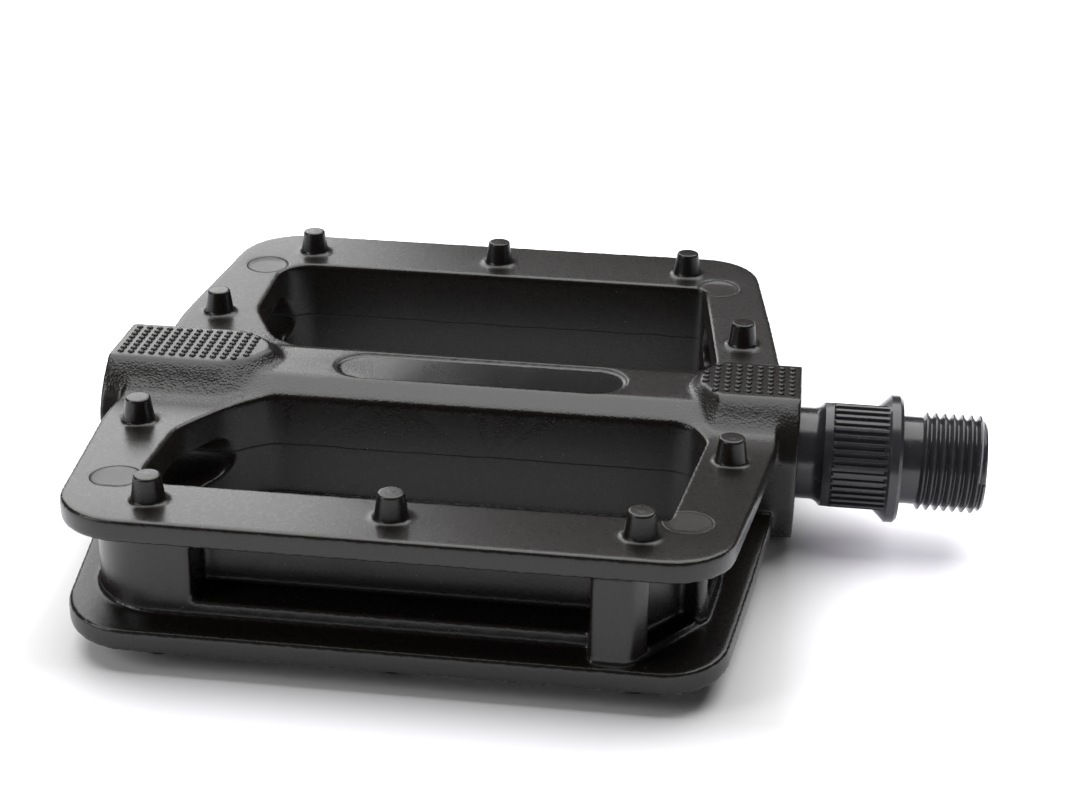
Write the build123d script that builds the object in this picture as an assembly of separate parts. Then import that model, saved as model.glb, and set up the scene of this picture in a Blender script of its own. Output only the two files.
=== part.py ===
from build123d import *
import os
from math import asin, cos, degrees, pi, radians, sin, sqrt, tan

# A cast flat pedal for a bicycle: one hollowed casting with ten studs on each tread face, a
# shouldered axle on two caged ball races, and a plug over its outer end.
#
# +X runs along the axle into the crank, +Y to the rear and +Z up, in millimetres.
# Stations along the axle are written from the middle rail studs. save() moves each piece so that
# the origin is on the axle axis, in the plane of the axle shoulder that seats on the crank.
SEAT_X = 65.9

# The two tread plates and the walls between them. Corners are (x, y, corner radius), y > 0.
RAIL_Y = 54.0
PLATE_FLAT_Y = 13.0
PLATE_INNER_Z = 7.4
PLATE_OUTER_Z = 9.53
PLATE_THICK = 3.1
PLATE_HALF = [
    (-46.9, 20.0, 40.0),
    (-42.9, RAIL_Y, 10.0),
    (42.6, RAIL_Y, 9.0),
    (46.0, 30.0, 60.0),
    (48.0, 14.0, 12.0),
]
WEB_Y = 49.3
WEB_HALF = [
    (-42.3, 20.0, 30.0),
    (-40.4, WEB_Y, 10.0),
    (26.0, WEB_Y, 0.6),
    (26.0, 52.8, 0.8),
    (31.2, 52.8, 1.5),
    (40.2, 41.0, 3.0),
    (41.2, 33.0, 20.0),
    (42.5, 14.0, 6.0),
]
# One of the two openings that go right through, beside the barrel.
POCKET = [
    (-25.2, 9.3, 4.0),
    (-30.4, 13.2, 12.0),
    (-35.3, 23.0, 9.0),
    (-35.3, 41.3, 5.0),
    (34.9, 41.3, 1.2),
    (38.2, 14.0, 3.0),
    (35.6, 9.3, 4.2),
]

# Barrel and its bosses.
BARREL_Y = 9.3
BARREL_SHOULDER_Z = 7.8
BARREL_FLAT_Y = 5.0
BARREL_TOP_Z = 9.4
BOSS_OUT_X = -50.4
BOSS_IN_X = 51.1
BOSS_R = 12.63
BOSS_FLAT_Y = 12.1
PAD_Z = 11.1
PAD_Y = 5.6
PAD_RUN = 6.4
PAD_DROP = 4.1
PAD_OUT_END_X = -46.8
PAD_OUT_STRAIGHT_X = -33.0
PAD_OUT_TIP_X = -27.4
PAD_IN_END_X = 47.9
PAD_IN_STRAIGHT_X = 39.4
PAD_IN_TIP_X = 36.7
# Shares of the arch's length and half width at the middle of each of its arcs, and of the
# pad's run-out that lies ahead of the tip.
PAD_BULGE_LENGTH = 0.62
PAD_BULGE_WIDTH = 0.66
PAD_TIP_RUN = 0.6

# Cut-outs in the casting.
SLOT_NEAR_Y = 12.9
SLOT_FAR_Y = 39.9
SLOT_NEAR_Z = 2.75
SLOT_FAR_Z = 3.95
SLOT_NEAR_CORNER_R = 2.7
SLOT_FAR_CORNER_R = 3.3
SLOT_OUT_STOP_X = -24.0
SLOT_IN_STOP_X = 30.0
SIDE_RECESS_X = 26.0
SIDE_RECESS_Z = 3.9
SIDE_RECESS_DEPTH = 5.8
CORNER_RECESS_FROM = (33.3, 49.7)
CORNER_RECESS_TO = (39.2, 42.3)
CORNER_RECESS_Z = 5.2
CORNER_RECESS_DEPTH = 2.8
PLAQUE_FROM_X = -17.5
PLAQUE_TO_X = 25.7
PLAQUE_Y = 4.6
PLAQUE_DEPTH = 0.4
PIN_MARKS = [(-38.2, 40.3), (37.2, 41.7)]
PIN_MARK_R = 3.3
PIN_MARK_DEPTH = 0.15

# Studs, cast with the plates.
STUDS = [(-31.67, 47.0), (0.0, 47.0), (31.68, 47.0), (-41.16, 21.0), (41.9, 21.0)]
STUD_HEIGHT = 3.72
STUD_TIP_R = 1.7
STUD_FOOT_R = 2.12
STUD_FLARE_R = 2.75
STUD_FLARE_H = 0.6
STUD_FLARE_BOW = 0.14
STUD_SUNK = 1.0
STUD_EDGE = 0.3

# Ball races: one row of balls each side, and the race grooves around their centres.
BALL_R = 3.175 / 2
BALL_COUNT = 11
GROOVE_R = 1.62
IN_BALL_X = 43.0
IN_PITCH_R = 6.85
IN_CUP_R = 9.3
OUT_BALL_X = -39.5
OUT_PITCH_R = 6.4
OUT_CUP_R = 8.9
CUP_BACK = 2.8
CUP_FRONT = 2.4
CUP_WALL_GAP = 0.02
CUP_LIP_ANGLE = 15.0
CAGE_INNER = 0.1
CAGE_OUTER = 1.45
CAGE_FROM = 0.7
CAGE_TO = 1.5
CAGE_BALL_GAP = 0.04

# Axle.
NECK_R = 6.7
NECK_END_X = 53.2
SHOULDER_X = 54.8
SHOULDER_R = 8.0
DRUM_X = 56.0
DRUM_FOOT_R = 8.35
DRUM_R = 8.95
DRUM_RIBS = 50
RIB_DEPTH = 0.45
# Half widths of a rib's crest and of its foot, as shares of the spacing.
RIB_CREST = 0.19
RIB_FOOT = 0.31
DRUM_CHAMFER = 0.3
FLATS_ACROSS = 15.0
FLATS_TILT = 25.0
FLANGE_FOOT_X = 62.2
FLANGE_RIM_X = 64.2
FLANGE_R = 9.3
FLANGE_BEVEL = 0.5
RELIEF_R = 6.4
RELIEF_END_X = 68.8
THREAD_R = 14.29 / 2
THREAD_PITCH = 25.4 / 20
THREAD_DEPTH = 0.78
THREAD_END_X = 78.0
THREAD_CHAMFER = 0.8
# How far the ridge's foot is sunk in the core, and its half widths as shares of the pitch.
THREAD_SUNK = 0.15
THREAD_FOOT = 0.44
THREAD_CREST = 0.07
END_EDGE = 0.3
SHAFT_R = 5.2
SHAFT_OUT_R = 5.0
SHAFT_STEP_X = -37.6
RACE_FOOT_X = 40.0
STUB_R = 4.0
STUB_EDGE = 0.6
AXLE_OUT_X = -48.9
CENTRE_DRILL_R = 1.4
KEYWAY_WIDTH = 1.6
KEYWAY_FLOOR_R = 3.2

# Outer bearing stack, seal and plug.
CONE_OUT_X = -44.5
CONE_IN_X = -38.7
CONE_HEX_ACROSS = 11.0
CONE_HEX_LENGTH = 1.6
CONE_LIP_ANGLE = 14.0
WASHER_THICK = 1.0
WASHER_R = 6.0
NUT_THICK = 3.0
NUT_ACROSS = 12.0
STUB_GAP = 0.03
BARREL_BORE_R = 6.4
SEAL_FROM_X = 48.0
SEAL_TO_X = 50.7
SEAL_GAP = 0.07
SEAL_LIP = 0.7
PLUG_R = 9.4
PLUG_MOUTH_R = 9.45
PLUG_DEPTH = 4.0
PLUG_MOUTH_DEPTH = 4.2
PLUG_WALL = 1.0
PLUG_FACE = 1.1
PLUG_DOME = 0.5
PLUG_GROOVE_R = 8.7
PLUG_GROOVE = 0.3

# Lengths that reach past the whole casting.
PAST_X = 120.0
PAST_Z = 40.0


def outline(corners):
    """A closed face in the XY plane, with a radius at each corner."""
    points = [(x, y) for x, y, radius in corners]
    radii = [radius for x, y, radius in corners]
    return make_face(FilletPolyline(*points, radius=radii, close=True))


def both_sides(half):
    """Closes an outline given for y > 0, from its outer end to its inner end, across the axle."""
    return half + [(x, -y, radius) for x, y, radius in reversed(half)]


def prism_z(corners, height=PAST_Z):
    """The outline, extruded to both sides of the XY plane."""
    return extrude(outline(corners), height / 2, both=True)


def prism_x(points, start, end):
    """A polygon of (y, z) points, extruded along the axle."""
    face = make_face(Polyline(*points, close=True))
    return extrude(Plane(origin=(start, 0, 0), x_dir=(0, 1, 0), z_dir=(1, 0, 0)) * face, end - start)


def turned(points):
    """A solid of revolution about the axle, from (x, radius) points."""
    return revolve(make_face(Polyline(*points, close=True)), Axis.X)


def ring(start, end, inner, outer):
    """A plain ring about the axle."""
    return turned([(start, inner), (end, inner), (end, outer), (start, outer)])


def box_between(low, high):
    """A box from its lowest corner to its highest."""
    size = [b - a for a, b in zip(low, high)]
    middle = [(a + b) / 2 for a, b in zip(low, high)]
    return Pos(*middle) * Box(*size)


def plate_z(y):
    """Height of the tread plate's face at a distance y from the axle."""
    slope = (PLATE_OUTER_Z - PLATE_INNER_Z) / (RAIL_Y - PLATE_FLAT_Y)
    return PLATE_INNER_Z + slope * max(0.0, abs(y) - PLATE_FLAT_Y)


def plate_block():
    """Both tread plates with the web between them, still solid, and the barrel's low ridge."""
    quarter = [
        (BARREL_FLAT_Y, BARREL_TOP_Z),
        (BARREL_Y, BARREL_SHOULDER_Z),
        (PLATE_FLAT_Y, PLATE_INNER_Z),
        (RAIL_Y, PLATE_OUTER_Z),
    ]
    upper = [(-y, z) for y, z in reversed(quarter)] + quarter
    lower = [(y, -z) for y, z in reversed(upper)]
    block = prism_x(upper + lower, -PAST_X / 2, PAST_X / 2) & prism_z(both_sides(PLATE_HALF))
    inner_z = PLATE_INNER_Z - PLATE_THICK
    outer_z = PLATE_OUTER_Z - PLATE_THICK
    under = [
        (-RAIL_Y - 1, outer_z),
        (-PLATE_FLAT_Y, inner_z),
        (PLATE_FLAT_Y, inner_z),
        (RAIL_Y + 1, outer_z),
    ]
    gap = prism_x(under + [(y, -z) for y, z in reversed(under)], -PAST_X / 2, PAST_X / 2)
    return block - (gap - prism_z(both_sides(WEB_HALF)))


def pad_outline(end_x, straight_x, tip_x, half_width, z):
    """A pad's edge at one height: straight sides that close in a pointed arch."""
    bulge_x = straight_x + PAD_BULGE_LENGTH * (tip_x - straight_x)
    bulge_y = PAD_BULGE_WIDTH * half_width
    left = (end_x, -half_width, z)
    right = (end_x, half_width, z)
    near = (straight_x, -half_width, z)
    far = (straight_x, half_width, z)
    tip = (tip_x, 0, z)
    edges = [
        Line(right, left),
        Line(left, near),
        ThreePointArc(near, (bulge_x, -bulge_y, z), tip),
        ThreePointArc(tip, (bulge_x, bulge_y, z), far),
        Line(far, right),
    ]
    return make_face(Wire(edges))


def pad(end_x, straight_x, tip_x):
    """The raised pad over a boss, with slopes down to the plate and the barrel."""
    inward = 1 if tip_x > end_x else -1
    top = pad_outline(end_x, straight_x, tip_x, PAD_Y, PAD_Z)
    foot_tip_x = tip_x + inward * PAD_RUN * PAD_TIP_RUN
    foot = pad_outline(end_x, straight_x, foot_tip_x, PAD_Y + PAD_RUN, PAD_Z - PAD_DROP)
    return loft([foot, top], ruled=True)


def boss(start, end):
    """A round boss with flats above, below and at both sides."""
    round_bar = Pos((start + end) / 2, 0, 0) * Rot(0, 90, 0) * Cylinder(BOSS_R, end - start)
    return round_bar & box_between((start, -BOSS_FLAT_Y, -PAD_Z), (end, BOSS_FLAT_Y, PAD_Z))


def stud():
    """One stud, standing on the XY plane, with a flared foot and a broken edge at its tip."""
    flare_foot = (STUD_FLARE_R, 0)
    flare_side = (STUD_FOOT_R + STUD_FLARE_BOW, STUD_FLARE_H * 0.3)
    flare_top = (STUD_FOOT_R, STUD_FLARE_H)
    tip_side = (STUD_TIP_R, STUD_HEIGHT - STUD_EDGE)
    tip_edge = (STUD_TIP_R - STUD_EDGE, STUD_HEIGHT)
    profile = [
        Line((0, -STUD_SUNK), (STUD_FLARE_R, -STUD_SUNK)),
        Line((STUD_FLARE_R, -STUD_SUNK), flare_foot),
        ThreePointArc(flare_foot, flare_side, flare_top),
        Line(flare_top, tip_side),
        Line(tip_side, tip_edge),
        Line(tip_edge, (0, STUD_HEIGHT)),
        Line((0, STUD_HEIGHT), (0, -STUD_SUNK)),
    ]
    face = Plane.XZ * make_face(Wire(profile))
    return revolve(face, Axis.Z)


def end_slots():
    """The slots through both end walls, front and rear of the barrel."""
    half = [
        (SLOT_NEAR_Y, SLOT_NEAR_Z, SLOT_NEAR_CORNER_R),
        (SLOT_FAR_Y, SLOT_FAR_Z, SLOT_FAR_CORNER_R),
    ]
    corners = half + [(y, -z, radius) for y, z, radius in reversed(half)]
    across = Plane(origin=(-PAST_X / 2, 0, 0), x_dir=(0, 1, 0), z_dir=(1, 0, 0))
    rear = extrude(across * outline(corners), PAST_X)
    rear -= box_between((SLOT_OUT_STOP_X, 0, -PAST_Z / 2), (SLOT_IN_STOP_X, RAIL_Y, PAST_Z / 2))
    return rear + mirror(rear, Plane.XZ)


def side_recesses():
    """Blind recesses in the long sides and in the slanted corner faces."""
    floor_y = WEB_Y - SIDE_RECESS_DEPTH
    long_recess = box_between(
        (-SIDE_RECESS_X, floor_y, -SIDE_RECESS_Z), (SIDE_RECESS_X, WEB_Y + 1, SIDE_RECESS_Z)
    )
    run_x = CORNER_RECESS_TO[0] - CORNER_RECESS_FROM[0]
    run_y = CORNER_RECESS_TO[1] - CORNER_RECESS_FROM[1]
    width = sqrt(run_x**2 + run_y**2)
    middle_x = (CORNER_RECESS_TO[0] + CORNER_RECESS_FROM[0]) / 2
    middle_y = (CORNER_RECESS_TO[1] + CORNER_RECESS_FROM[1]) / 2
    face = Plane(origin=(middle_x, middle_y, 0), x_dir=(run_x, run_y, 0), z_dir=(-run_y, run_x, 0))
    corner_recess = face * Box(width, 2 * CORNER_RECESS_Z, 2 * CORNER_RECESS_DEPTH)
    rear = long_recess + corner_recess
    return rear + mirror(rear, Plane.XZ)


def plaque():
    """The blank, shallow, round-ended recess in the barrel's upper face."""
    length = PLAQUE_TO_X - PLAQUE_FROM_X
    middle = (PLAQUE_TO_X + PLAQUE_FROM_X) / 2
    face = Pos(middle, 0, BARREL_TOP_Z - PLAQUE_DEPTH) * SlotOverall(length, 2 * PLAQUE_Y)
    return extrude(face, 2 * PLAQUE_DEPTH)


def bearing_bore():
    """Everything that is bored out of the barrel along the axle."""
    in_step = IN_BALL_X - CUP_BACK
    out_step = OUT_BALL_X + CUP_BACK
    mouth_end = BOSS_OUT_X + PLUG_MOUTH_DEPTH
    return turned([
        (BOSS_OUT_X - 1, 0),
        (BOSS_OUT_X - 1, PLUG_MOUTH_R),
        (mouth_end, PLUG_MOUTH_R),
        (mouth_end, OUT_CUP_R + CUP_WALL_GAP),
        (out_step, OUT_CUP_R + CUP_WALL_GAP),
        (out_step, BARREL_BORE_R),
        (in_step, BARREL_BORE_R),
        (in_step, IN_CUP_R + CUP_WALL_GAP),
        (BOSS_IN_X + 1, IN_CUP_R + CUP_WALL_GAP),
        (BOSS_IN_X + 1, 0),
    ])


def pedal_body():
    """The casting."""
    body = plate_block()
    body += boss(BOSS_OUT_X, PAD_OUT_STRAIGHT_X)
    body += boss(PAD_IN_STRAIGHT_X, BOSS_IN_X)
    pads = pad(PAD_OUT_END_X, PAD_OUT_STRAIGHT_X, PAD_OUT_TIP_X)
    pads += pad(PAD_IN_END_X, PAD_IN_STRAIGHT_X, PAD_IN_TIP_X)
    body += pads
    body += mirror(pads, Plane.XY)
    pocket = prism_z(POCKET)
    body -= pocket
    body -= mirror(pocket, Plane.XZ)
    body -= end_slots()
    body -= side_recesses()
    body -= plaque()
    body -= bearing_bore()
    marks = []
    studs = []
    for side in (-1, 1):
        for x, y in PIN_MARKS:
            top_z = plate_z(y)
            marks.append(Pos(x, side * y, top_z) * Cylinder(PIN_MARK_R, 2 * PIN_MARK_DEPTH))
        for x, y in STUDS:
            one = Pos(x, side * y, plate_z(y)) * stud()
            studs.append(one)
            studs.append(mirror(one, Plane.XY))
    body -= marks
    body += studs
    return body


def groove(x, r, start, end):
    """An arc of a race groove around a ball centre, between two angles in the (x, r) plane."""
    points = []
    for angle in (start, (start + end) / 2, end):
        points.append((x + GROOVE_R * cos(radians(angle)), r + GROOVE_R * sin(radians(angle))))
    return ThreePointArc(*points)


def revolve_path(edges):
    """Turns a closed chain of lines and arcs about the axle."""
    return revolve(make_face(Wire(edges)), Axis.X)


def lines(points):
    """Straight lines from each point to the next."""
    chain = [Vector(*point) for point in points]
    return [Line(a, b) for a, b in zip(chain, chain[1:]) if (b - a).length > 1e-6]


def closed_with_lines(arc, points):
    """An arc, then straight lines through the points and back to its start."""
    return [arc] + lines([arc @ 1] + points + [arc @ 0])


def cup(ball_x, pitch_r, outer_r, back):
    """A pressed race. back is -1 where its closed side is outboard of the balls, 1 if inboard."""
    lip_angle = 180 - CUP_LIP_ANGLE if back < 0 else CUP_LIP_ANGLE
    arc = groove(ball_x, pitch_r, 90, lip_angle)
    back_x = ball_x + back * CUP_BACK
    front_x = ball_x - back * CUP_FRONT
    lip = arc @ 1
    points = [
        (back_x, lip.Y),
        (back_x, outer_r),
        (front_x, outer_r),
        (front_x, pitch_r + GROOVE_R),
    ]
    return revolve_path(closed_with_lines(arc, points))


def balls(ball_x, pitch_r):
    """One row of balls, spaced evenly around the axle."""
    row = []
    for index in range(BALL_COUNT):
        angle = 2 * pi * index / BALL_COUNT
        centre = Pos(ball_x, pitch_r * cos(angle), pitch_r * sin(angle))
        row.append(centre * Sphere(BALL_R))
    return row


def ball_cage(ball_x, pitch_r, side):
    """The stamped ring that spaces the balls. side is 1 where it lies inboard of their centres."""
    edges = sorted([ball_x + side * CAGE_FROM, ball_x + side * CAGE_TO])
    cage = ring(edges[0], edges[1], pitch_r + CAGE_INNER, pitch_r + CAGE_OUTER)
    for index in range(BALL_COUNT):
        angle = 2 * pi * index / BALL_COUNT
        centre = Pos(ball_x, pitch_r * cos(angle), pitch_r * sin(angle))
        cage -= centre * Sphere(BALL_R + CAGE_BALL_GAP)
    return cage


def broken_edge(start, end, bow=0.03):
    """A shallow arc for a chamfer or a cone, bowed outwards from the axle by a little."""
    middle = ((start[0] + end[0]) / 2, (start[1] + end[1]) / 2 + bow)
    return ThreePointArc(start, middle, end)


def crank_thread():
    """The left-hand ridge of the crank thread, trimmed to the axle's end and its chamfer."""
    root_r = THREAD_R - THREAD_DEPTH
    length = THREAD_END_X - RELIEF_END_X
    path = Helix(pitch=THREAD_PITCH, height=length, radius=root_r, lefthand=True)
    section = Plane(origin=path @ 0, x_dir=(1, 0, 0), z_dir=path % 0)
    half_foot = THREAD_FOOT * THREAD_PITCH
    half_crest = THREAD_CREST * THREAD_PITCH
    tooth = make_face(Polyline(
        (-THREAD_SUNK, -half_foot),
        (0, -half_foot),
        (THREAD_DEPTH, -half_crest),
        (THREAD_DEPTH, half_crest),
        (0, half_foot),
        (-THREAD_SUNK, half_foot),
        close=True,
    ))
    ridge = sweep(section * tooth, path=path, is_frenet=True)
    ridge = Pos(RELIEF_END_X, 0, 0) * Rot(0, 90, 0) * ridge
    past_x = THREAD_END_X + THREAD_PITCH
    past_r = THREAD_R + THREAD_DEPTH
    beyond_end = turned([
        (past_x, root_r - THREAD_DEPTH),
        (THREAD_END_X, root_r - THREAD_DEPTH),
        (THREAD_END_X, THREAD_R - THREAD_CHAMFER),
        (THREAD_END_X - THREAD_CHAMFER - THREAD_DEPTH, past_r),
        (past_x, past_r),
    ])
    return ridge - beyond_end


def ribbed_drum():
    """The ribbed drum, with its two wrench flats."""
    valley_r = DRUM_R - RIB_DEPTH
    rib = [(-RIB_FOOT, valley_r), (-RIB_CREST, DRUM_R), (RIB_CREST, DRUM_R), (RIB_FOOT, valley_r)]
    points = []
    for index in range(DRUM_RIBS):
        for offset, radius in rib:
            angle = 2 * pi * (index + offset) / DRUM_RIBS
            points.append((radius * cos(angle), radius * sin(angle)))
    ribs = prism_x(points, DRUM_X, FLANGE_RIM_X)
    edge = broken_edge((DRUM_X, DRUM_R - DRUM_CHAMFER), (DRUM_X + DRUM_CHAMFER, DRUM_R))
    ribs &= revolve_path(closed_with_lines(edge, [(FLANGE_RIM_X, DRUM_R), (FLANGE_RIM_X, 0), (DRUM_X, 0)]))
    cove = TangentArc((NECK_END_X, NECK_R), (SHOULDER_X, SHOULDER_R), tangent=(1, 0))
    slope = broken_edge((SHOULDER_X, SHOULDER_R), (DRUM_X, DRUM_FOOT_R))
    closing = lines([slope @ 1, (DRUM_X, 0), (NECK_END_X, 0), cove @ 0])
    neck = revolve_path([cove, slope] + closing)
    drum = ribs + neck
    half = FLATS_ACROSS / 2
    for side in (-1, 1):
        above = box_between((NECK_END_X, -DRUM_R - 1, half), (FLANGE_RIM_X, DRUM_R + 1, DRUM_R + 1))
        turn = -FLATS_TILT if side > 0 else 180 - FLATS_TILT
        drum -= Rot(turn, 0, 0) * above
    return drum


def axle():
    """The axle, from its outer threaded stub to the crank thread."""
    race_angle = 360 + degrees(asin((NECK_R - IN_PITCH_R) / GROOVE_R))
    cone_arc = groove(IN_BALL_X, IN_PITCH_R, 270, race_angle)
    stub_edge = broken_edge((AXLE_OUT_X, STUB_R - STUB_EDGE), (AXLE_OUT_X + STUB_EDGE, STUB_R))
    chain = [
        cone_arc @ 1,
        (NECK_END_X, NECK_R),
        (NECK_END_X, 0),
        (AXLE_OUT_X, 0),
        stub_edge @ 0,
    ]
    rest = [
        stub_edge @ 1,
        (SHAFT_STEP_X, STUB_R),
        (SHAFT_STEP_X + SHAFT_OUT_R - STUB_R, SHAFT_OUT_R),
        (RACE_FOOT_X, SHAFT_R),
        cone_arc @ 0,
    ]
    shaft = revolve_path([cone_arc, stub_edge] + lines(chain) + lines(rest))
    flange_slope = broken_edge((FLANGE_FOOT_X, FLATS_ACROSS / 2 - 0.1), (FLANGE_RIM_X, FLANGE_R), -0.06)
    flange = revolve_path(closed_with_lines(flange_slope, [
        (SEAT_X - FLANGE_BEVEL, FLANGE_R),
        (SEAT_X, FLANGE_R - FLANGE_BEVEL),
        (SEAT_X, RELIEF_R),
        (RELIEF_END_X, RELIEF_R),
        (RELIEF_END_X, THREAD_R - THREAD_DEPTH),
        (THREAD_END_X - END_EDGE, THREAD_R - THREAD_DEPTH),
        (THREAD_END_X, THREAD_R - THREAD_DEPTH - END_EDGE),
        (THREAD_END_X, CENTRE_DRILL_R),
        (THREAD_END_X - CENTRE_DRILL_R / tan(radians(30)), 0),
        (FLANGE_FOOT_X, 0),
    ]))
    whole = shaft + ribbed_drum() + flange + crank_thread()
    keyway = box_between(
        (AXLE_OUT_X - 1, -KEYWAY_WIDTH / 2, KEYWAY_FLOOR_R), (CONE_OUT_X, KEYWAY_WIDTH / 2, STUB_R + 1)
    )
    return whole - keyway


def outboard_cone():
    """The adjustable cone, with a hexagon to hold it by."""
    arc = groove(OUT_BALL_X, OUT_PITCH_R, 180 + CONE_LIP_ANGLE, 270)
    bore_r = STUB_R + STUB_GAP
    foot = arc @ 1
    points = [
        (CONE_IN_X, foot.Y),
        (CONE_IN_X, bore_r),
        (CONE_OUT_X, bore_r),
        (CONE_OUT_X, (arc @ 0).Y),
    ]
    cone = revolve_path(closed_with_lines(arc, points))
    hexagon = RegularPolygon(CONE_HEX_ACROSS / 2, 6, major_radius=False)
    section = Plane(origin=(CONE_OUT_X, 0, 0), x_dir=(0, 1, 0), z_dir=(1, 0, 0)) * hexagon
    cut = ring(CONE_OUT_X, CONE_OUT_X + CONE_HEX_LENGTH, bore_r / 2, OUT_PITCH_R)
    return cone - (cut - extrude(section, CONE_HEX_LENGTH))


def keyed_washer():
    """The washer whose tab keeps the lock nut from turning the cone."""
    washer = ring(CONE_OUT_X - WASHER_THICK, CONE_OUT_X, STUB_R + STUB_GAP, WASHER_R)
    tab_y = KEYWAY_WIDTH / 2 - 0.05
    tab = box_between(
        (CONE_OUT_X - WASHER_THICK, -tab_y, KEYWAY_FLOOR_R + 0.05), (CONE_OUT_X, tab_y, STUB_R + 0.5)
    )
    return washer + tab


def lock_nut():
    """The hexagon nut that locks the cone."""
    start = CONE_OUT_X - WASHER_THICK - NUT_THICK
    hexagon = RegularPolygon(NUT_ACROSS / 2, 6, major_radius=False)
    section = Plane(origin=(start, 0, 0), x_dir=(0, 1, 0), z_dir=(1, 0, 0)) * hexagon
    blank = extrude(section, NUT_THICK)
    corner_r = NUT_ACROSS / sqrt(3)
    rounded = turned([
        (start, STUB_R + STUB_GAP),
        (start, corner_r - 0.8),
        (start + 0.5, corner_r),
        (start + NUT_THICK - 0.5, corner_r),
        (start + NUT_THICK, corner_r - 0.8),
        (start + NUT_THICK, STUB_R + STUB_GAP),
    ])
    return blank & rounded


def inboard_seal():
    """The rubber seal in the inner boss's mouth, with a thin lip on the axle's neck."""
    outer = IN_CUP_R
    inner = NECK_R + SEAL_GAP
    return turned([
        (SEAL_FROM_X, inner + 0.9),
        (SEAL_TO_X - SEAL_LIP, inner + 0.5),
        (SEAL_TO_X - SEAL_LIP / 2, inner),
        (SEAL_TO_X, inner),
        (SEAL_TO_X, outer - 0.5),
        (SEAL_TO_X - 0.5, outer),
        (SEAL_FROM_X, outer),
    ])


def dust_cap():
    """The plug over the outer end, slightly domed, with a fine groove near its rim."""
    sphere_r = (PLUG_R**2 + PLUG_DOME**2) / (2 * PLUG_DOME)
    half_angle = asin(PLUG_R / sphere_r) / 2
    top_x = BOSS_OUT_X - PLUG_DOME
    middle = (top_x + sphere_r * (1 - cos(half_angle)), sphere_r * sin(half_angle))
    dome = ThreePointArc((BOSS_OUT_X, PLUG_R), middle, (top_x, 0))
    inner = PLUG_R - PLUG_WALL
    points = [
        (BOSS_OUT_X + PLUG_FACE, 0),
        (BOSS_OUT_X + PLUG_FACE, inner),
        (BOSS_OUT_X + PLUG_DEPTH, inner),
        (BOSS_OUT_X + PLUG_DEPTH, PLUG_R),
    ]
    plug = revolve_path(closed_with_lines(dome, points))
    return plug - ring(top_x, BOSS_OUT_X + PLUG_GROOVE, PLUG_GROOVE_R, PLUG_GROOVE_R + PLUG_GROOVE)


def save(shape, node):
    """Writes one piece, moved so that the origin is at the crank seat."""
    export_step(Pos(-SEAT_X, 0, 0) * shape, f"parts/{node}.step")


os.makedirs("parts", exist_ok=True)
save(pedal_body(), "pedal_body")
save(axle(), "axle")
save(inboard_seal(), "inboard_seal")
save(cup(IN_BALL_X, IN_PITCH_R, IN_CUP_R, -1), "inboard_cup")
save(cup(OUT_BALL_X, OUT_PITCH_R, OUT_CUP_R, 1), "outboard_cup")
save(ball_cage(IN_BALL_X, IN_PITCH_R, 1), "inboard_ball_cage")
save(ball_cage(OUT_BALL_X, OUT_PITCH_R, -1), "outboard_ball_cage")
for number, ball in enumerate(balls(IN_BALL_X, IN_PITCH_R), 1):
    save(ball, f"inboard_ball_{number:02d}")
for number, ball in enumerate(balls(OUT_BALL_X, OUT_PITCH_R), 1):
    save(ball, f"outboard_ball_{number:02d}")
save(outboard_cone(), "outboard_cone")
save(keyed_washer(), "keyed_washer")
save(lock_nut(), "lock_nut")
save(dust_cap(), "dust_cap")
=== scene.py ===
import math

import bmesh
import bpy
import numpy as np
from mathutils import Matrix, Vector

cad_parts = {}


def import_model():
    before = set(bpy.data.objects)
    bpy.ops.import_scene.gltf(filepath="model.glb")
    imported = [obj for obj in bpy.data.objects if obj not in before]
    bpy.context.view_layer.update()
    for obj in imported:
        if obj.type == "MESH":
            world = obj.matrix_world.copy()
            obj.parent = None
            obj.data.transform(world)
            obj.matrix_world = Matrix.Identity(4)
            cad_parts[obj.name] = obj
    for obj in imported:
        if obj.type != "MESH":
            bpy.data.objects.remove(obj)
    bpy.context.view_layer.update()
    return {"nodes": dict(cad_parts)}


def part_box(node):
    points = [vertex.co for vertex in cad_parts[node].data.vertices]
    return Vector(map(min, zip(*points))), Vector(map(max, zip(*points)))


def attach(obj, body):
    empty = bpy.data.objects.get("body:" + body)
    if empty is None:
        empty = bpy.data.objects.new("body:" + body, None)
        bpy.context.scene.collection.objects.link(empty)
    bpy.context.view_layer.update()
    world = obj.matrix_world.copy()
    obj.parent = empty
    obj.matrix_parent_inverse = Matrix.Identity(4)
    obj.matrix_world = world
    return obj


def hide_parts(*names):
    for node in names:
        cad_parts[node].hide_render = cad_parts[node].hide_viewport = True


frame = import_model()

# ---------------------------------------------------------------- places, from the frame
# Stations along the axle are written from the middle rail studs, as in the part's source.
MM = 0.001
BODY_LOW, BODY_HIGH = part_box("pedal_body")
BOSS_IN_X = 51.1
MID_X = BODY_HIGH.x / MM - BOSS_IN_X      # the middle rail studs' station, in the row frame, in mm
FLOOR_Z = BODY_LOW.z

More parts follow.
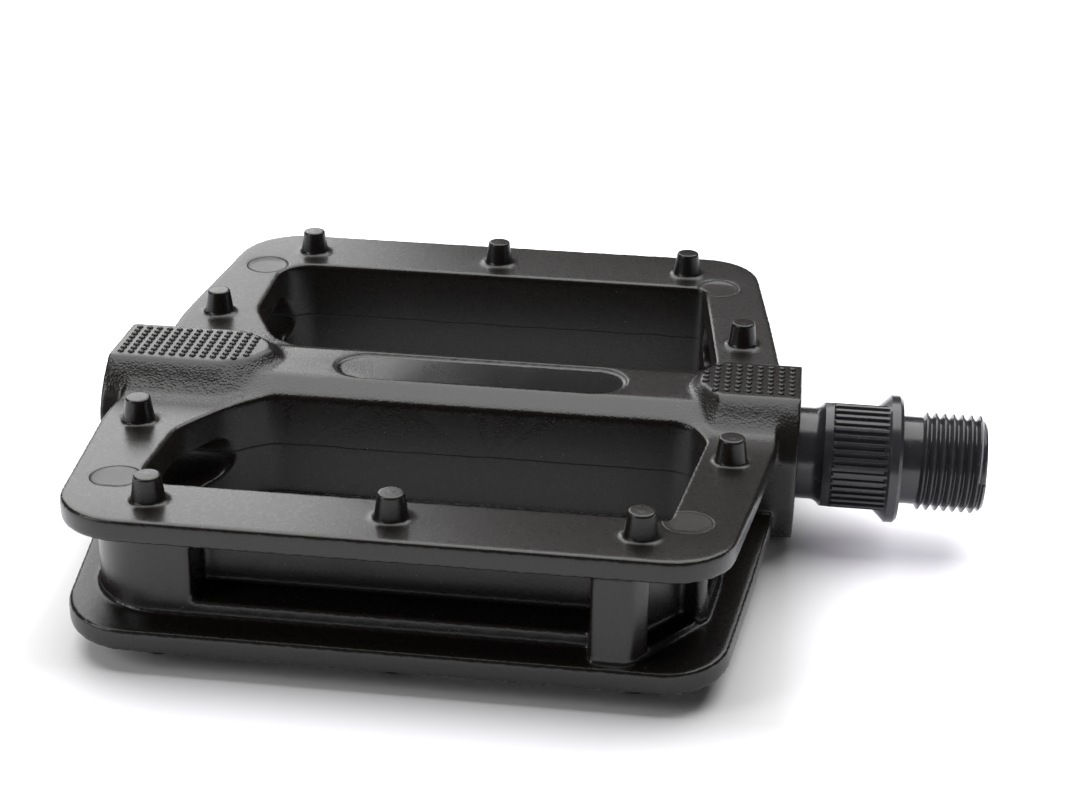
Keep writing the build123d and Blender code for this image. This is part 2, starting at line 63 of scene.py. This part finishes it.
# The casting's own sizes, in mm.
PAD_Z = 11.1
PAD_Y = 5.6
PAD_OUT = (-33.0, -27.4)      # where a pad's arch starts, and its tip
PAD_IN = (39.4, 36.7)
PLATE_FLAT_Y = 13.0
RAIL_Y = 54.0
PLATE_INNER_Z = 7.4
PLATE_OUTER_Z = 9.53
PLATE_SLOPE = (PLATE_OUTER_Z - PLATE_INNER_Z) / (RAIL_Y - PLATE_FLAT_Y)
BARREL_TOP_Z = 9.4
PLAQUE_X = (-17.5, 25.7)
PLAQUE_Y = 4.6
PLAQUE_FROM_Z = 8.3           # the barrel's top and the plaque's floor lie above this
PIN_MARKS = [(-38.2, 40.3), (37.2, 41.7)]
PIN_MARK_R = 3.3
PIN_MARK_FROM_Z = 7.6         # the plates' outer faces lie further out than this near the marks
OPENING_X = 38.6              # the two openings lie within these
OPENING_Y = 42.0

# Studs: places on one half of a face, and profiles of (radius, height) points.
STUD_PLACES = [(-31.67, 47.0), (0.0, 47.0), (31.68, 47.0), (-41.16, 21.0), (41.9, 21.0)]
STUD_FOOT = [(3.0, -0.6), (2.86, -0.06), (2.62, 0.05), (2.42, 0.17), (2.28, 0.33), (2.20, 0.56)]
STUD_TIP = [(1.80, 3.32), (1.77, 3.50), (1.69, 3.62), (1.56, 3.69), (1.36, 3.70), (0.7, 3.71)]
STUD_SIDES = 40

# Knurl: one bump's profile, and each pad's grid as its first station, pitch along the axle, columns,
# pitch across, rows, and the pad's arch.
BUMP = [(0.58, -0.15), (0.54, 0.01), (0.44, 0.13), (0.33, 0.25), (0.20, 0.30)]
BUMP_SIDES = 10
BUMP_EDGE = 0.6               # how far a bump's middle stays inside the pad's edge
ARCH_POWER = 1.7              # how full the pad's arch is; 2 would be an ellipse
KNURL_OUT = (-48.9, 1.55, 13, 1.33, 8, PAD_OUT)
KNURL_IN = (49.7, -1.55, 9, 1.5, 7, PAD_IN)

# The casting's mesh: rounded in steps, pebbled, then thinned.
VOXEL = 0.25 * MM
VOXEL_TURN = Matrix.Rotation(0.6, 3, "X") @ Matrix.Rotation(0.5, 3, "Y") @ Matrix.Rotation(0.4, 3, "Z")
SMOOTH_STEPS = 16
CRISP_STEPS = 5
PEBBLES = [(0.9, 3, 0.03), (0.6, 8, 0.05)]      # cell size, seed and height of each layer
SHOWN_FACES = 190_000

# Where the pebbles lie: each pair is where they start and where they are full.
PEBBLE_OUT_X = (-24.0, -28.5)
PEBBLE_IN_X = (30.5, 35.0)
PEBBLE_IN_SHARE = 0.45
PEBBLE_SLOPE_Y = (17.0, 13.0)
PEBBLE_SLOPE_Z = (PAD_Z - 0.15, PAD_Z - 0.7)
PEBBLE_OFF_PLATE = (-0.4, 0.4)
SHOULDER_INNER_Y = (7.4, 8.8)
SHOULDER_OUTER_Y = (11.0, 9.6)
SHOULDER_Z = (6.3, 7.2)
SHOULDER_SHARE = 0.6

# Where edges stay crisp: around the plaque and on the pads' rims.
CRISP_PLAQUE_ENDS = 1.0
CRISP_PLAQUE_Y = 5.4
CRISP_PLAQUE_DEPTH = 0.8
CRISP_PAD_Y = 7.0
CRISP_PAD_DEPTH = 0.5

# Floor and light; the sizes are in metres.
FLOOR_HALF = 6.0
GLOW = 0.5
GLOW_REACH = (-1 * MM, 15 * MM)    # how far from the casting's box the glow starts, and where it is full
WORLD_LIGHT = 0.06

# The camera: its place in mm from the middle rail studs, its axes in the row frame, and its lens.
CAMERA_PLACE = (45.61, -270.55, 128.42)
CAMERA_RIGHT = (0.99179, 0.12687, 0.01631)
CAMERA_UP = (-0.06717, 0.40802, 0.91050)
CAMERA_BACK = (0.10886, -0.90412, 0.41319)
CAMERA_LENS = 67.5
SENSOR_WIDTH = 36.0


# ---------------------------------------------------------------- noise on arrays of points
def lattice_noise(points, seed):
    """Smooth value noise from 0 to 1 at points given in cells, the same on every run."""
    # The large whole numbers only scramble a cell's place into its value.
    base = np.floor(points).astype(np.int64)
    part = points - base
    part = part * part * (3 - 2 * part)
    total = np.zeros(len(points))
    for corner in range(8):
        step = np.array([corner & 1, corner >> 1 & 1, corner >> 2 & 1])
        cell = base + step
        mixed = cell[:, 0] * 73856093 ^ cell[:, 1] * 19349663 ^ cell[:, 2] * 83492791 ^ seed * 2654435761
        mixed = (mixed ^ mixed >> 13) * 1274126177 & 0xFFFFFFFF
        value = (mixed ^ mixed >> 16 & 0xFFFF) / 0xFFFFFFFF
        weight = np.prod(np.where(step == 1, part, 1 - part), axis=1)
        total += value * weight
    return total


def ramp(x, low, high):
    """0 below low, 1 above high, smooth between; low may be the larger."""
    t = np.clip((x - low) / (high - low), 0, 1)
    return t * t * (3 - 2 * t)


# ---------------------------------------------------------------- the casting
def mesh_points(mesh):
    """The vertices' places, one row each."""
    co = np.zeros(len(mesh.vertices) * 3)
    mesh.vertices.foreach_get("co", co)
    return co.reshape(-1, 3)


def mesh_normals(mesh):
    """The vertices' normals, one row each."""
    normals = np.zeros(len(mesh.vertices) * 3)
    mesh.vertex_normals.foreach_get("vector", normals)
    return normals.reshape(-1, 3)


def local_mm(points):
    """Row-frame metres to millimetres from the middle rail studs."""
    place = points / MM
    place[:, 0] -= MID_X
    return place


def apply_modifiers(obj):
    """Replaces the object's mesh with the one its modifiers make."""
    bpy.context.view_layer.update()
    graph = bpy.context.evaluated_depsgraph_get()
    mesh = bpy.data.meshes.new_from_object(obj.evaluated_get(graph))
    obj.modifiers.clear()
    obj.data = mesh


def plate_height(y):
    """How far a tread plate's outer face stands from the middle plane."""
    return PLATE_INNER_Z + PLATE_SLOPE * np.maximum(0, np.abs(y) - PLATE_FLAT_Y)


def pebble_mask(p):
    """Where the casting is pebbled: the pads' slopes and the barrel's shoulders."""
    x, y, z = p[:, 0], np.abs(p[:, 1]), np.abs(p[:, 2])
    above = ramp(z - plate_height(y), *PEBBLE_OFF_PLATE)
    slope = ramp(z, *PEBBLE_SLOPE_Z) * above * ramp(y, *PEBBLE_SLOPE_Y)
    at_boss = np.maximum(ramp(x, *PEBBLE_OUT_X), PEBBLE_IN_SHARE * ramp(x, *PEBBLE_IN_X))
    shoulder = ramp(y, *SHOULDER_INNER_Y) * ramp(z, *SHOULDER_Z) * ramp(y, *SHOULDER_OUTER_Y)
    return np.maximum(slope * at_boss, SHOULDER_SHARE * shoulder)


def crisp_mask(p):
    """Where edges stay sharper: around the plaque and on the pads' rims."""
    x, y, z = p[:, 0], np.abs(p[:, 1]), p[:, 2]
    along = (x > PLAQUE_X[0] - CRISP_PLAQUE_ENDS) & (x < PLAQUE_X[1] + CRISP_PLAQUE_ENDS)
    plaque = (z > BARREL_TOP_Z - CRISP_PLAQUE_DEPTH) & (y < CRISP_PLAQUE_Y) & along
    pad = np.abs(z) > PAD_Z - CRISP_PAD_DEPTH
    return plaque | (pad & (y < CRISP_PAD_Y))


def relax(obj):
    """Rounds the edges of the voxel mesh by moving each vertex towards its neighbours."""
    points = mesh_points(obj.data)
    edges = np.zeros(len(obj.data.edges) * 2, dtype=np.int32)
    obj.data.edges.foreach_get("vertices", edges)
    first, second = edges.reshape(-1, 2).T
    count = len(points)
    neighbours = np.bincount(first, minlength=count) + np.bincount(second, minlength=count)
    crisp = crisp_mask(local_mm(points.copy()))
    for step in range(SMOOTH_STEPS):
        mean = np.empty_like(points)
        for axis in range(3):
            value = points[:, axis]
            total = np.bincount(first, value[second], count)
            total += np.bincount(second, value[first], count)
            mean[:, axis] = total
        mean /= neighbours[:, None]
        share = np.where(crisp & (step >= CRISP_STEPS), 0.0, 0.5)
        points += (mean - points) * share[:, None]
    obj.data.vertices.foreach_set("co", points.reshape(-1))
    obj.data.update()


def casting():
    """The cast body: the CAD solid with rounded edges and pebbled slopes."""
    node = frame["nodes"]["pedal_body"]
    obj = bpy.data.objects.new("cast_body", node.data.copy())
    bpy.context.scene.collection.objects.link(obj)
    obj.data.materials.clear()
    # The voxels stand askew to the casting, so that its straight edges come out straight.
    obj.data.transform(VOXEL_TURN.to_4x4())
    remesh = obj.modifiers.new("voxels", "REMESH")
    remesh.mode = "VOXEL"
    remesh.voxel_size = VOXEL
    apply_modifiers(obj)
    obj.data.transform(VOXEL_TURN.transposed().to_4x4())
    relax(obj)

    points = mesh_points(obj.data)
    normals = mesh_normals(obj.data)
    p = local_mm(points.copy())
    waves = sum(height * (lattice_noise(p / cell, seed) - 0.5) for cell, seed, height in PEBBLES)
    lift = pebble_mask(p) * waves
    points += normals * (lift * MM)[:, None]
    obj.data.vertices.foreach_set("co", points.reshape(-1))

    thin = obj.modifiers.new("thin", "DECIMATE")
    obj.data.calc_loop_triangles()
    thin.ratio = min(1.0, SHOWN_FACES / len(obj.data.loop_triangles))
    apply_modifiers(obj)

    p = local_mm(mesh_points(obj.data))
    layer = obj.data.attributes.new("pebble", "FLOAT", "POINT")
    layer.data.foreach_set("value", pebble_mask(p).astype(np.float32))
    obj.data.polygons.foreach_set("use_smooth", [True] * len(obj.data.polygons))
    return obj


def turned_up(bm, place, profile, sides, up):
    """Turns a profile of (radius, height) points about an upright line and closes both its ends."""
    loops = []
    for radius, height in profile:
        loop = []
        for index in range(sides):
            turn = 2 * math.pi * index / sides
            x = place[0] + radius * math.cos(turn)
            y = place[1] + radius * math.sin(turn)
            loop.append(bm.verts.new(((x + MID_X) * MM, y * MM, (place[2] + up * height) * MM)))
        loops.append(loop)
    for lower, upper in zip(loops, loops[1:]):
        for index in range(sides):
            after = (index + 1) % sides
            corners = [lower[index], lower[after], upper[after], upper[index]]
            bm.faces.new(corners if up > 0 else corners[::-1])
    bm.faces.new(loops[-1] if up > 0 else loops[-1][::-1])
    bm.faces.new(loops[0][::-1] if up > 0 else loops[0])


def object_from(bm, name):
    """A smooth-shaded object from a bmesh, which is freed."""
    mesh = bpy.data.meshes.new(name)
    bm.to_mesh(mesh)
    bm.free()
    mesh.polygons.foreach_set("use_smooth", [True] * len(mesh.polygons))
    obj = bpy.data.objects.new(name, mesh)
    bpy.context.scene.collection.objects.link(obj)
    return obj


def studs():
    """The twenty studs with crisp tips, standing on the rounded casting's own."""
    bm = bmesh.new()
    for x, y in STUD_PLACES:
        base = plate_height(y)
        for side in (-1, 1):
            for up in (-1, 1):
                turned_up(bm, (x, side * y, up * base), STUD_FOOT + STUD_TIP, STUD_SIDES, up)
    return object_from(bm, "cast_studs")


# ---------------------------------------------------------------- node helpers
class Nodes:
    """A short way to lay out one material's nodes."""

    def __init__(self, name):
        self.material = bpy.data.materials.new(name)
        self.material.use_nodes = True
        self.tree = self.material.node_tree
        self.shader = self.tree.nodes["Principled BSDF"]
        self.place = self.add("ShaderNodeTexCoord").outputs["Object"]

    def add(self, kind, **settings):
        node = self.tree.nodes.new(kind)
        for name, value in settings.items():
            setattr(node, name, value)
        return node

    def link(self, source, target):
        self.tree.links.new(source, target)

    def put(self, socket, value):
        if isinstance(value, bpy.types.NodeSocket):
            self.link(value, socket)
        else:
            socket.default_value = value

    def math(self, operation, a, b=0.0, c=0.0):
        node = self.add("ShaderNodeMath", operation=operation)
        for socket, value in zip(node.inputs, (a, b, c)):
            self.put(socket, value)
        return node.outputs[0]

    def noise(self, size_mm, detail=2.0, roughness=0.5, place=None):
        node = self.add("ShaderNodeTexNoise")
        self.link(place or self.place, node.inputs["Vector"])
        node.inputs["Scale"].default_value = 1 / (size_mm * MM)
        node.inputs["Detail"].default_value = detail
        node.inputs["Roughness"].default_value = roughness
        return node.outputs["Fac"]

    def cells(self, size_mm, feature="F1"):
        node = self.add("ShaderNodeTexVoronoi", feature=feature)
        self.link(self.place, node.inputs["Vector"])
        node.inputs["Scale"].default_value = 1 / (size_mm * MM)
        return node.outputs["Distance"]

    def range(self, value, low, high, to_low, to_high):
        node = self.add("ShaderNodeMapRange")
        self.put(node.inputs["Value"], value)
        for name, number in (("From Min", low), ("From Max", high), ("To Min", to_low), ("To Max", to_high)):
            self.put(node.inputs[name], number)
        return node.outputs["Result"]

    def mix(self, fac, a, b):
        node = self.add("ShaderNodeMix", data_type="RGBA")
        self.put(node.inputs["Factor"], fac)
        self.put(node.inputs[6], a)
        self.put(node.inputs[7], b)
        return node.outputs[2]

    def bump(self, height, strength, distance_mm, after=None):
        node = self.add("ShaderNodeBump")
        self.put(node.inputs["Height"], height)
        node.inputs["Strength"].default_value = strength
        node.inputs["Distance"].default_value = distance_mm * MM
        if after is not None:
            self.link(after, node.inputs["Normal"])
        return node.outputs["Normal"]

    def attribute(self, name):
        return self.add("ShaderNodeAttribute", attribute_name=name).outputs["Fac"]

    def axis(self, index):
        node = self.add("ShaderNodeSeparateXYZ")
        self.link(self.place, node.inputs[0])
        return node.outputs[index]

    def finish(self, color, roughness, normal=None, metallic=0.0):
        self.put(self.shader.inputs["Base Color"], color)
        self.put(self.shader.inputs["Roughness"], roughness)
        self.shader.inputs["Metallic"].default_value = metallic
        if normal is not None:
            self.link(normal, self.shader.inputs["Normal"])
        return self.material


def cast_paint():
    """Satin black paint over a casting: orange peel, pebbled slopes, a parting line, dust, and painted shade
    in the marks' rings and along the plaque's edge.
    """
    n = Nodes("cast_paint")
    pebble = n.attribute("pebble")
    x = n.math("SUBTRACT", n.math("DIVIDE", n.axis(0), MM), MID_X)
    y = n.math("ABSOLUTE", n.math("DIVIDE", n.axis(1), MM))
    z = n.math("DIVIDE", n.axis(2), MM)

    # orange peel, a fine grain, and the pebbles
    peel = n.noise(0.9, 3.0)
    grain = n.noise(0.22, 2.0)
    pebble_height = n.math("MULTIPLY", n.range(n.cells(0.42), 0.1, 0.65, 1.0, 0.0), pebble)
    normal = n.bump(peel, 0.12, 0.06)
    normal = n.bump(grain, 0.22, 0.04, normal)
    normal = n.bump(pebble_height, 0.45, 0.10, normal)

    # the parting line around the inside of the two openings
    wander = n.range(n.noise(6.0, 3.0), 0.3, 0.7, -0.12, 0.12)
    off_line = n.math("ABSOLUTE", n.math("SUBTRACT", z, wander))
    in_x = n.math("LESS_THAN", n.math("ABSOLUTE", x), OPENING_X)
    inside = n.math("MULTIPLY", n.math("LESS_THAN", y, OPENING_Y), in_x)
    line = n.math("MULTIPLY", n.range(off_line, 0.04, 0.15, 1.0, 0.0), inside)
    normal = n.bump(line, 0.4, 0.12, normal)

    # thin rings around four flat marks, drawn on both faces as a groove and as painted shade; the solid has
    # them on the upper one only
    ring = 0.0
    disc = 0.0
    for mark_x, mark_y in PIN_MARKS:
        away_x = n.math("SUBTRACT", x, mark_x)
        away_y = n.math("SUBTRACT", y, mark_y)
        squares = n.math("ADD", n.math("MULTIPLY", away_x, away_x), n.math("MULTIPLY", away_y, away_y))
        off_middle = n.math("SQRT", squares)
        off_ring = n.math("ABSOLUTE", n.math("SUBTRACT", off_middle, PIN_MARK_R))
        disc = n.math("ADD", disc, n.range(off_middle, PIN_MARK_R - 0.3, PIN_MARK_R, 1.0, 0.0))
        ring = n.math("ADD", ring, n.range(off_ring, 0.05, 0.20, 1.0, 0.0))
    outside = n.math("GREATER_THAN", n.math("ABSOLUTE", z), PIN_MARK_FROM_Z)
    ring = n.math("MULTIPLY", ring, outside)
    disc = n.math("MULTIPLY", disc, outside)
    normal = n.bump(n.math("MULTIPLY", ring, -1.0), 0.6, 0.15, normal)

    # the plaque's floor is smoother and darker, inside a fine edge that is painted dark as the shade along
    # the recess's wall
    middle = (PLAQUE_X[0] + PLAQUE_X[1]) / 2
    run = (PLAQUE_X[1] - PLAQUE_X[0]) / 2 - PLAQUE_Y
    past = n.math("MAXIMUM", n.math("SUBTRACT", n.math("ABSOLUTE", n.math("SUBTRACT", x, middle)), run), 0.0)
    reach = n.math("SQRT", n.math("ADD", n.math("MULTIPLY", past, past), n.math("MULTIPLY", y, y)))
    top = n.math("GREATER_THAN", z, PLAQUE_FROM_Z)
    floor_share = n.math("MULTIPLY", n.range(reach, PLAQUE_Y - 0.05, PLAQUE_Y - 0.30, 0.0, 1.0), top)
    rim = n.range(n.math("ABSOLUTE", n.math("SUBTRACT", reach, PLAQUE_Y)), 0.06, 0.22, 1.0, 0.0)
    rim = n.math("MULTIPLY", rim, top)

    # colour: mottled black, darker lines (the parting line, and painted shade in the marks' rings and along
    # the plaque's edge), and a few pale specks of dust
    mottle = n.noise(7.0, 4.0)
    color = n.mix(mottle, (0.0066, 0.0054, 0.0046, 1), (0.0092, 0.0076, 0.0065, 1))
    color = n.mix(n.math("MULTIPLY", disc, 0.35), color, (0.022, 0.020, 0.018, 1))
    color = n.mix(floor_share, color, (0.0045, 0.0045, 0.005, 1))
    # painted shade: the marks' rings and the plaque's edge are painted near black, standing in for the shade
    # of their small steps; the parting line is darkened with them
    dark = n.math("MINIMUM", n.math("ADD", n.math("ADD", line, ring), rim), 1.0)
    color = n.mix(n.math("MULTIPLY", dark, 0.85), color, (0.0015, 0.0015, 0.0015, 1))
    dust = n.range(n.noise(0.40, 1.0, 0.5), 0.77, 0.80, 0.0, 1.0)
    dust = n.math("MULTIPLY", dust, n.range(n.noise(11.0, 2.0), 0.50, 0.62, 0.0, 0.7))
    color = n.mix(dust, color, (0.30, 0.28, 0.26, 1))
    rough = n.range(n.noise(0.5, 1.0), 0.3, 0.7, 0.27, 0.31)
    rough = n.math("ADD", rough, n.math("MULTIPLY", disc, 0.05))
    rough = n.math("ADD", rough, n.math("MULTIPLY", floor_share, -0.08))
    rough = n.math("ADD", rough, n.math("MULTIPLY", dark, 0.3))
    n.shader.inputs["Specular IOR Level"].default_value = 0.42
    return n.finish(color, rough, normal)


def dark_steel():
    """Black-oxide steel with fine turning marks around the axle."""
    n = Nodes("dark_steel")
    stretch = n.add("ShaderNodeMapping")
    n.link(n.place, stretch.inputs["Vector"])
    stretch.inputs["Scale"].default_value = (1.0, 0.08, 0.08)
    turning = n.noise(0.16, 2.0, place=stretch.outputs[0])
    mottle = n.noise(2.2, 4.0)
    edges = n.add("ShaderNodeBevel", samples=6)
    edges.inputs["Radius"].default_value = 0.09 * MM
    normal = n.bump(turning, 0.10, 0.04, edges.outputs["Normal"])
    normal = n.bump(n.noise(0.5, 3.0), 0.08, 0.05, normal)
    color = n.mix(mottle, (0.021, 0.021, 0.025, 1), (0.040, 0.039, 0.044, 1))
    rough = n.range(n.noise(1.4, 3.0), 0.3, 0.7, 0.16, 0.28)
    return n.finish(color, rough, normal)


def sand_plastic():
    """Matte black plastic with a sandy grain."""
    n = Nodes("sand_plastic")
    sand = n.noise(0.30, 2.0, 0.7)
    specks = n.cells(0.45)
    normal = n.bump(sand, 0.6, 0.14)
    normal = n.bump(specks, 0.25, 0.08, normal)
    color = n.mix(sand, (0.012, 0.012, 0.012, 1), (0.034, 0.033, 0.032, 1))
    rough = n.range(n.noise(4.0, 2.0), 0.3, 0.7, 0.55, 0.70)
    return n.finish(color, rough, normal)


def soft_rubber():
    """Black rubber with a fine matte grain."""
    n = Nodes("soft_rubber")
    fine = n.noise(0.25, 3.0)
    color = n.mix(fine, (0.010, 0.010, 0.010, 1), (0.022, 0.022, 0.022, 1))
    return n.finish(color, n.range(fine, 0.3, 0.7, 0.62, 0.8), n.bump(fine, 0.3, 0.05))


def ground_steel(name, low, high, rough_low, rough_high):
    """Bare steel with a ground lay around the axle and a little staining."""
    n = Nodes(name)
    stretch = n.add("ShaderNodeMapping")
    n.link(n.place, stretch.inputs["Vector"])
    stretch.inputs["Scale"].default_value = (1.0, 0.05, 0.05)
    lay = n.noise(0.10, 2.0, place=stretch.outputs[0])
    stain = n.noise(1.8, 4.0)
    color = n.mix(stain, (*low, 1), (*high, 1))
    rough = n.range(stain, 0.3, 0.7, rough_low, rough_high)
    return n.finish(color, rough, n.bump(lay, 0.15, 0.03), metallic=1.0)


# ---------------------------------------------------------------- the pads' knurl
def pad_half_width(x, arch):
    """Half the pad's width at a station."""
    along = (x - arch[0]) / (arch[1] - arch[0])
    if along <= 0:
        return PAD_Y
    return PAD_Y * math.sqrt(max(0.0, 1 - along**ARCH_POWER))


def knurl_rows(bm, start, pitch_x, columns, pitch_y, rows, arch, up):
    """A square grid of bumps on one pad, as far as its arch lets them."""
    for column in range(columns):
        x = start + column * pitch_x
        for row in range(rows):
            y = (row - (rows - 1) / 2) * pitch_y
            if abs(y) < pad_half_width(x, arch) - BUMP_EDGE:
                turned_up(bm, (x, y, up * PAD_Z), BUMP, BUMP_SIDES, up)


def knurl():
    """Every bump on the four pads."""
    bm = bmesh.new()
    for up in (-1, 1):
        knurl_rows(bm, *KNURL_OUT, up)
        knurl_rows(bm, *KNURL_IN, up)
    return object_from(bm, "pad_knurl")


# ---------------------------------------------------------------- assembly
def set_material(obj, material):
    obj.data.materials.clear()
    obj.data.materials.append(material)


paint = cast_paint()
body = casting()
set_material(body, paint)
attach(body, "pedal_body")
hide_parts("pedal_body")

for piece in (studs(), knurl()):
    set_material(piece, paint)
    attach(piece, "pedal_body")

race = ground_steel("race_steel", (0.42, 0.42, 0.43), (0.55, 0.55, 0.56), 0.18, 0.30)
cage_metal = ground_steel("cage_steel", (0.40, 0.38, 0.35), (0.52, 0.50, 0.46), 0.28, 0.42)
zinc = ground_steel("zinc_steel", (0.52, 0.53, 0.55), (0.66, 0.67, 0.70), 0.22, 0.35)
ball_metal = ground_steel("ball_steel", (0.62, 0.62, 0.63), (0.70, 0.70, 0.71), 0.05, 0.12)
NODE_MATERIALS = {
    "axle": dark_steel(),
    "dust_cap": sand_plastic(),
    "inboard_seal": soft_rubber(),
    "inboard_cup": race,
    "outboard_cup": race,
    "outboard_cone": race,
    "keyed_washer": zinc,
    "lock_nut": zinc,
    "inboard_ball_cage": cage_metal,
    "outboard_ball_cage": cage_metal,
}
for name, obj in frame["nodes"].items():
    if "_ball_" in name and not name.endswith("cage"):
        set_material(obj, ball_metal)
    elif name in NODE_MATERIALS:
        set_material(obj, NODE_MATERIALS[name])


# ---------------------------------------------------------------- floor, light and camera
def row_metres(place_mm):
    """Millimetres from the middle rail studs to row-frame metres."""
    return Vector(((place_mm[0] + MID_X) * MM, place_mm[1] * MM, place_mm[2] * MM))


def past_box(n, axis, middle, half):
    """How far a point lies outside the casting's box along one axis, in metres."""
    off_middle = n.math("ABSOLUTE", n.math("SUBTRACT", n.axis(axis), middle[axis]))
    return n.math("SUBTRACT", off_middle, half[axis])


def floor():
    """White paper under the part, with a painted glow outside the casting's box."""
    mesh = bpy.data.meshes.new("floor")
    half = FLOOR_HALF
    corners = [(-half, -half, 0), (half, -half, 0), (half, half, 0), (-half, half, 0)]
    mesh.from_pydata(corners, [], [(0, 1, 2, 3)])
    obj = bpy.data.objects.new("floor", mesh)
    obj.location.z = FLOOR_Z
    bpy.context.scene.collection.objects.link(obj)
    n = Nodes("paper_with_painted_glow")
    tone = n.noise(60.0, 2.0)
    color = n.mix(tone, (0.86, 0.86, 0.87, 1), (0.89, 0.89, 0.895, 1))
    n.shader.inputs["Emission Color"].default_value = (0.93, 0.90, 1.0, 1)
    # The paper glows a little outside the casting's box. This painted glow keeps the shadow light there,
    # while next to and under the casting, where it does not glow, the shadow stays dark.
    body_middle = (BODY_LOW + BODY_HIGH) / 2
    body_half = (BODY_HIGH - BODY_LOW) / 2
    past_x = past_box(n, 0, body_middle, body_half)
    past_y = past_box(n, 1, body_middle, body_half)
    glow = n.range(n.math("MAXIMUM", past_x, past_y), *GLOW_REACH, 0.0, GLOW)
    n.link(glow, n.shader.inputs["Emission Strength"])
    set_material(obj, n.finish(color, 0.9))


def area_light(name, place_mm, size_mm, power):
    """A white rectangular light, aimed at the casting's middle."""
    data = bpy.data.lights.new(name, "AREA")
    data.shape = "RECTANGLE"
    data.size, data.size_y = (side * MM for side in size_mm)
    data.energy = power
    obj = bpy.data.objects.new(name, data)
    place = row_metres(place_mm)
    obj.location = place
    obj.rotation_euler = (row_metres((0, 0, 0)) - place).to_track_quat("-Z", "Y").to_euler()
    bpy.context.scene.collection.objects.link(obj)


def camera():
    """The scene's camera."""
    data = bpy.data.cameras.new("camera")
    data.sensor_fit = "HORIZONTAL"
    data.sensor_width = SENSOR_WIDTH
    data.lens = CAMERA_LENS
    data.clip_start = 0.01
    obj = bpy.data.objects.new("camera", data)
    turn = Matrix((CAMERA_RIGHT, CAMERA_UP, CAMERA_BACK)).transposed()
    obj.matrix_world = Matrix.Translation(row_metres(CAMERA_PLACE)) @ turn.to_4x4()
    bpy.context.scene.collection.objects.link(obj)
    bpy.context.scene.camera = obj


def world():
    """A faint, even white light from all around."""
    made = bpy.data.worlds.new("studio")
    made.use_nodes = True
    background = made.node_tree.nodes["Background"]
    background.inputs["Color"].default_value = (1, 1, 1, 1)
    background.inputs["Strength"].default_value = WORLD_LIGHT
    bpy.context.scene.world = made


floor()
world()
area_light("overhead", (0, 600, 1500), (2200, 2000), 52.0)
area_light("back_left", (-380, 760, 340), (420, 340), 1.6)
area_light("front_left", (-420, -260, 260), (200, 300), 1.0)
camera()
bpy.context.scene.view_settings.view_transform = "Standard"
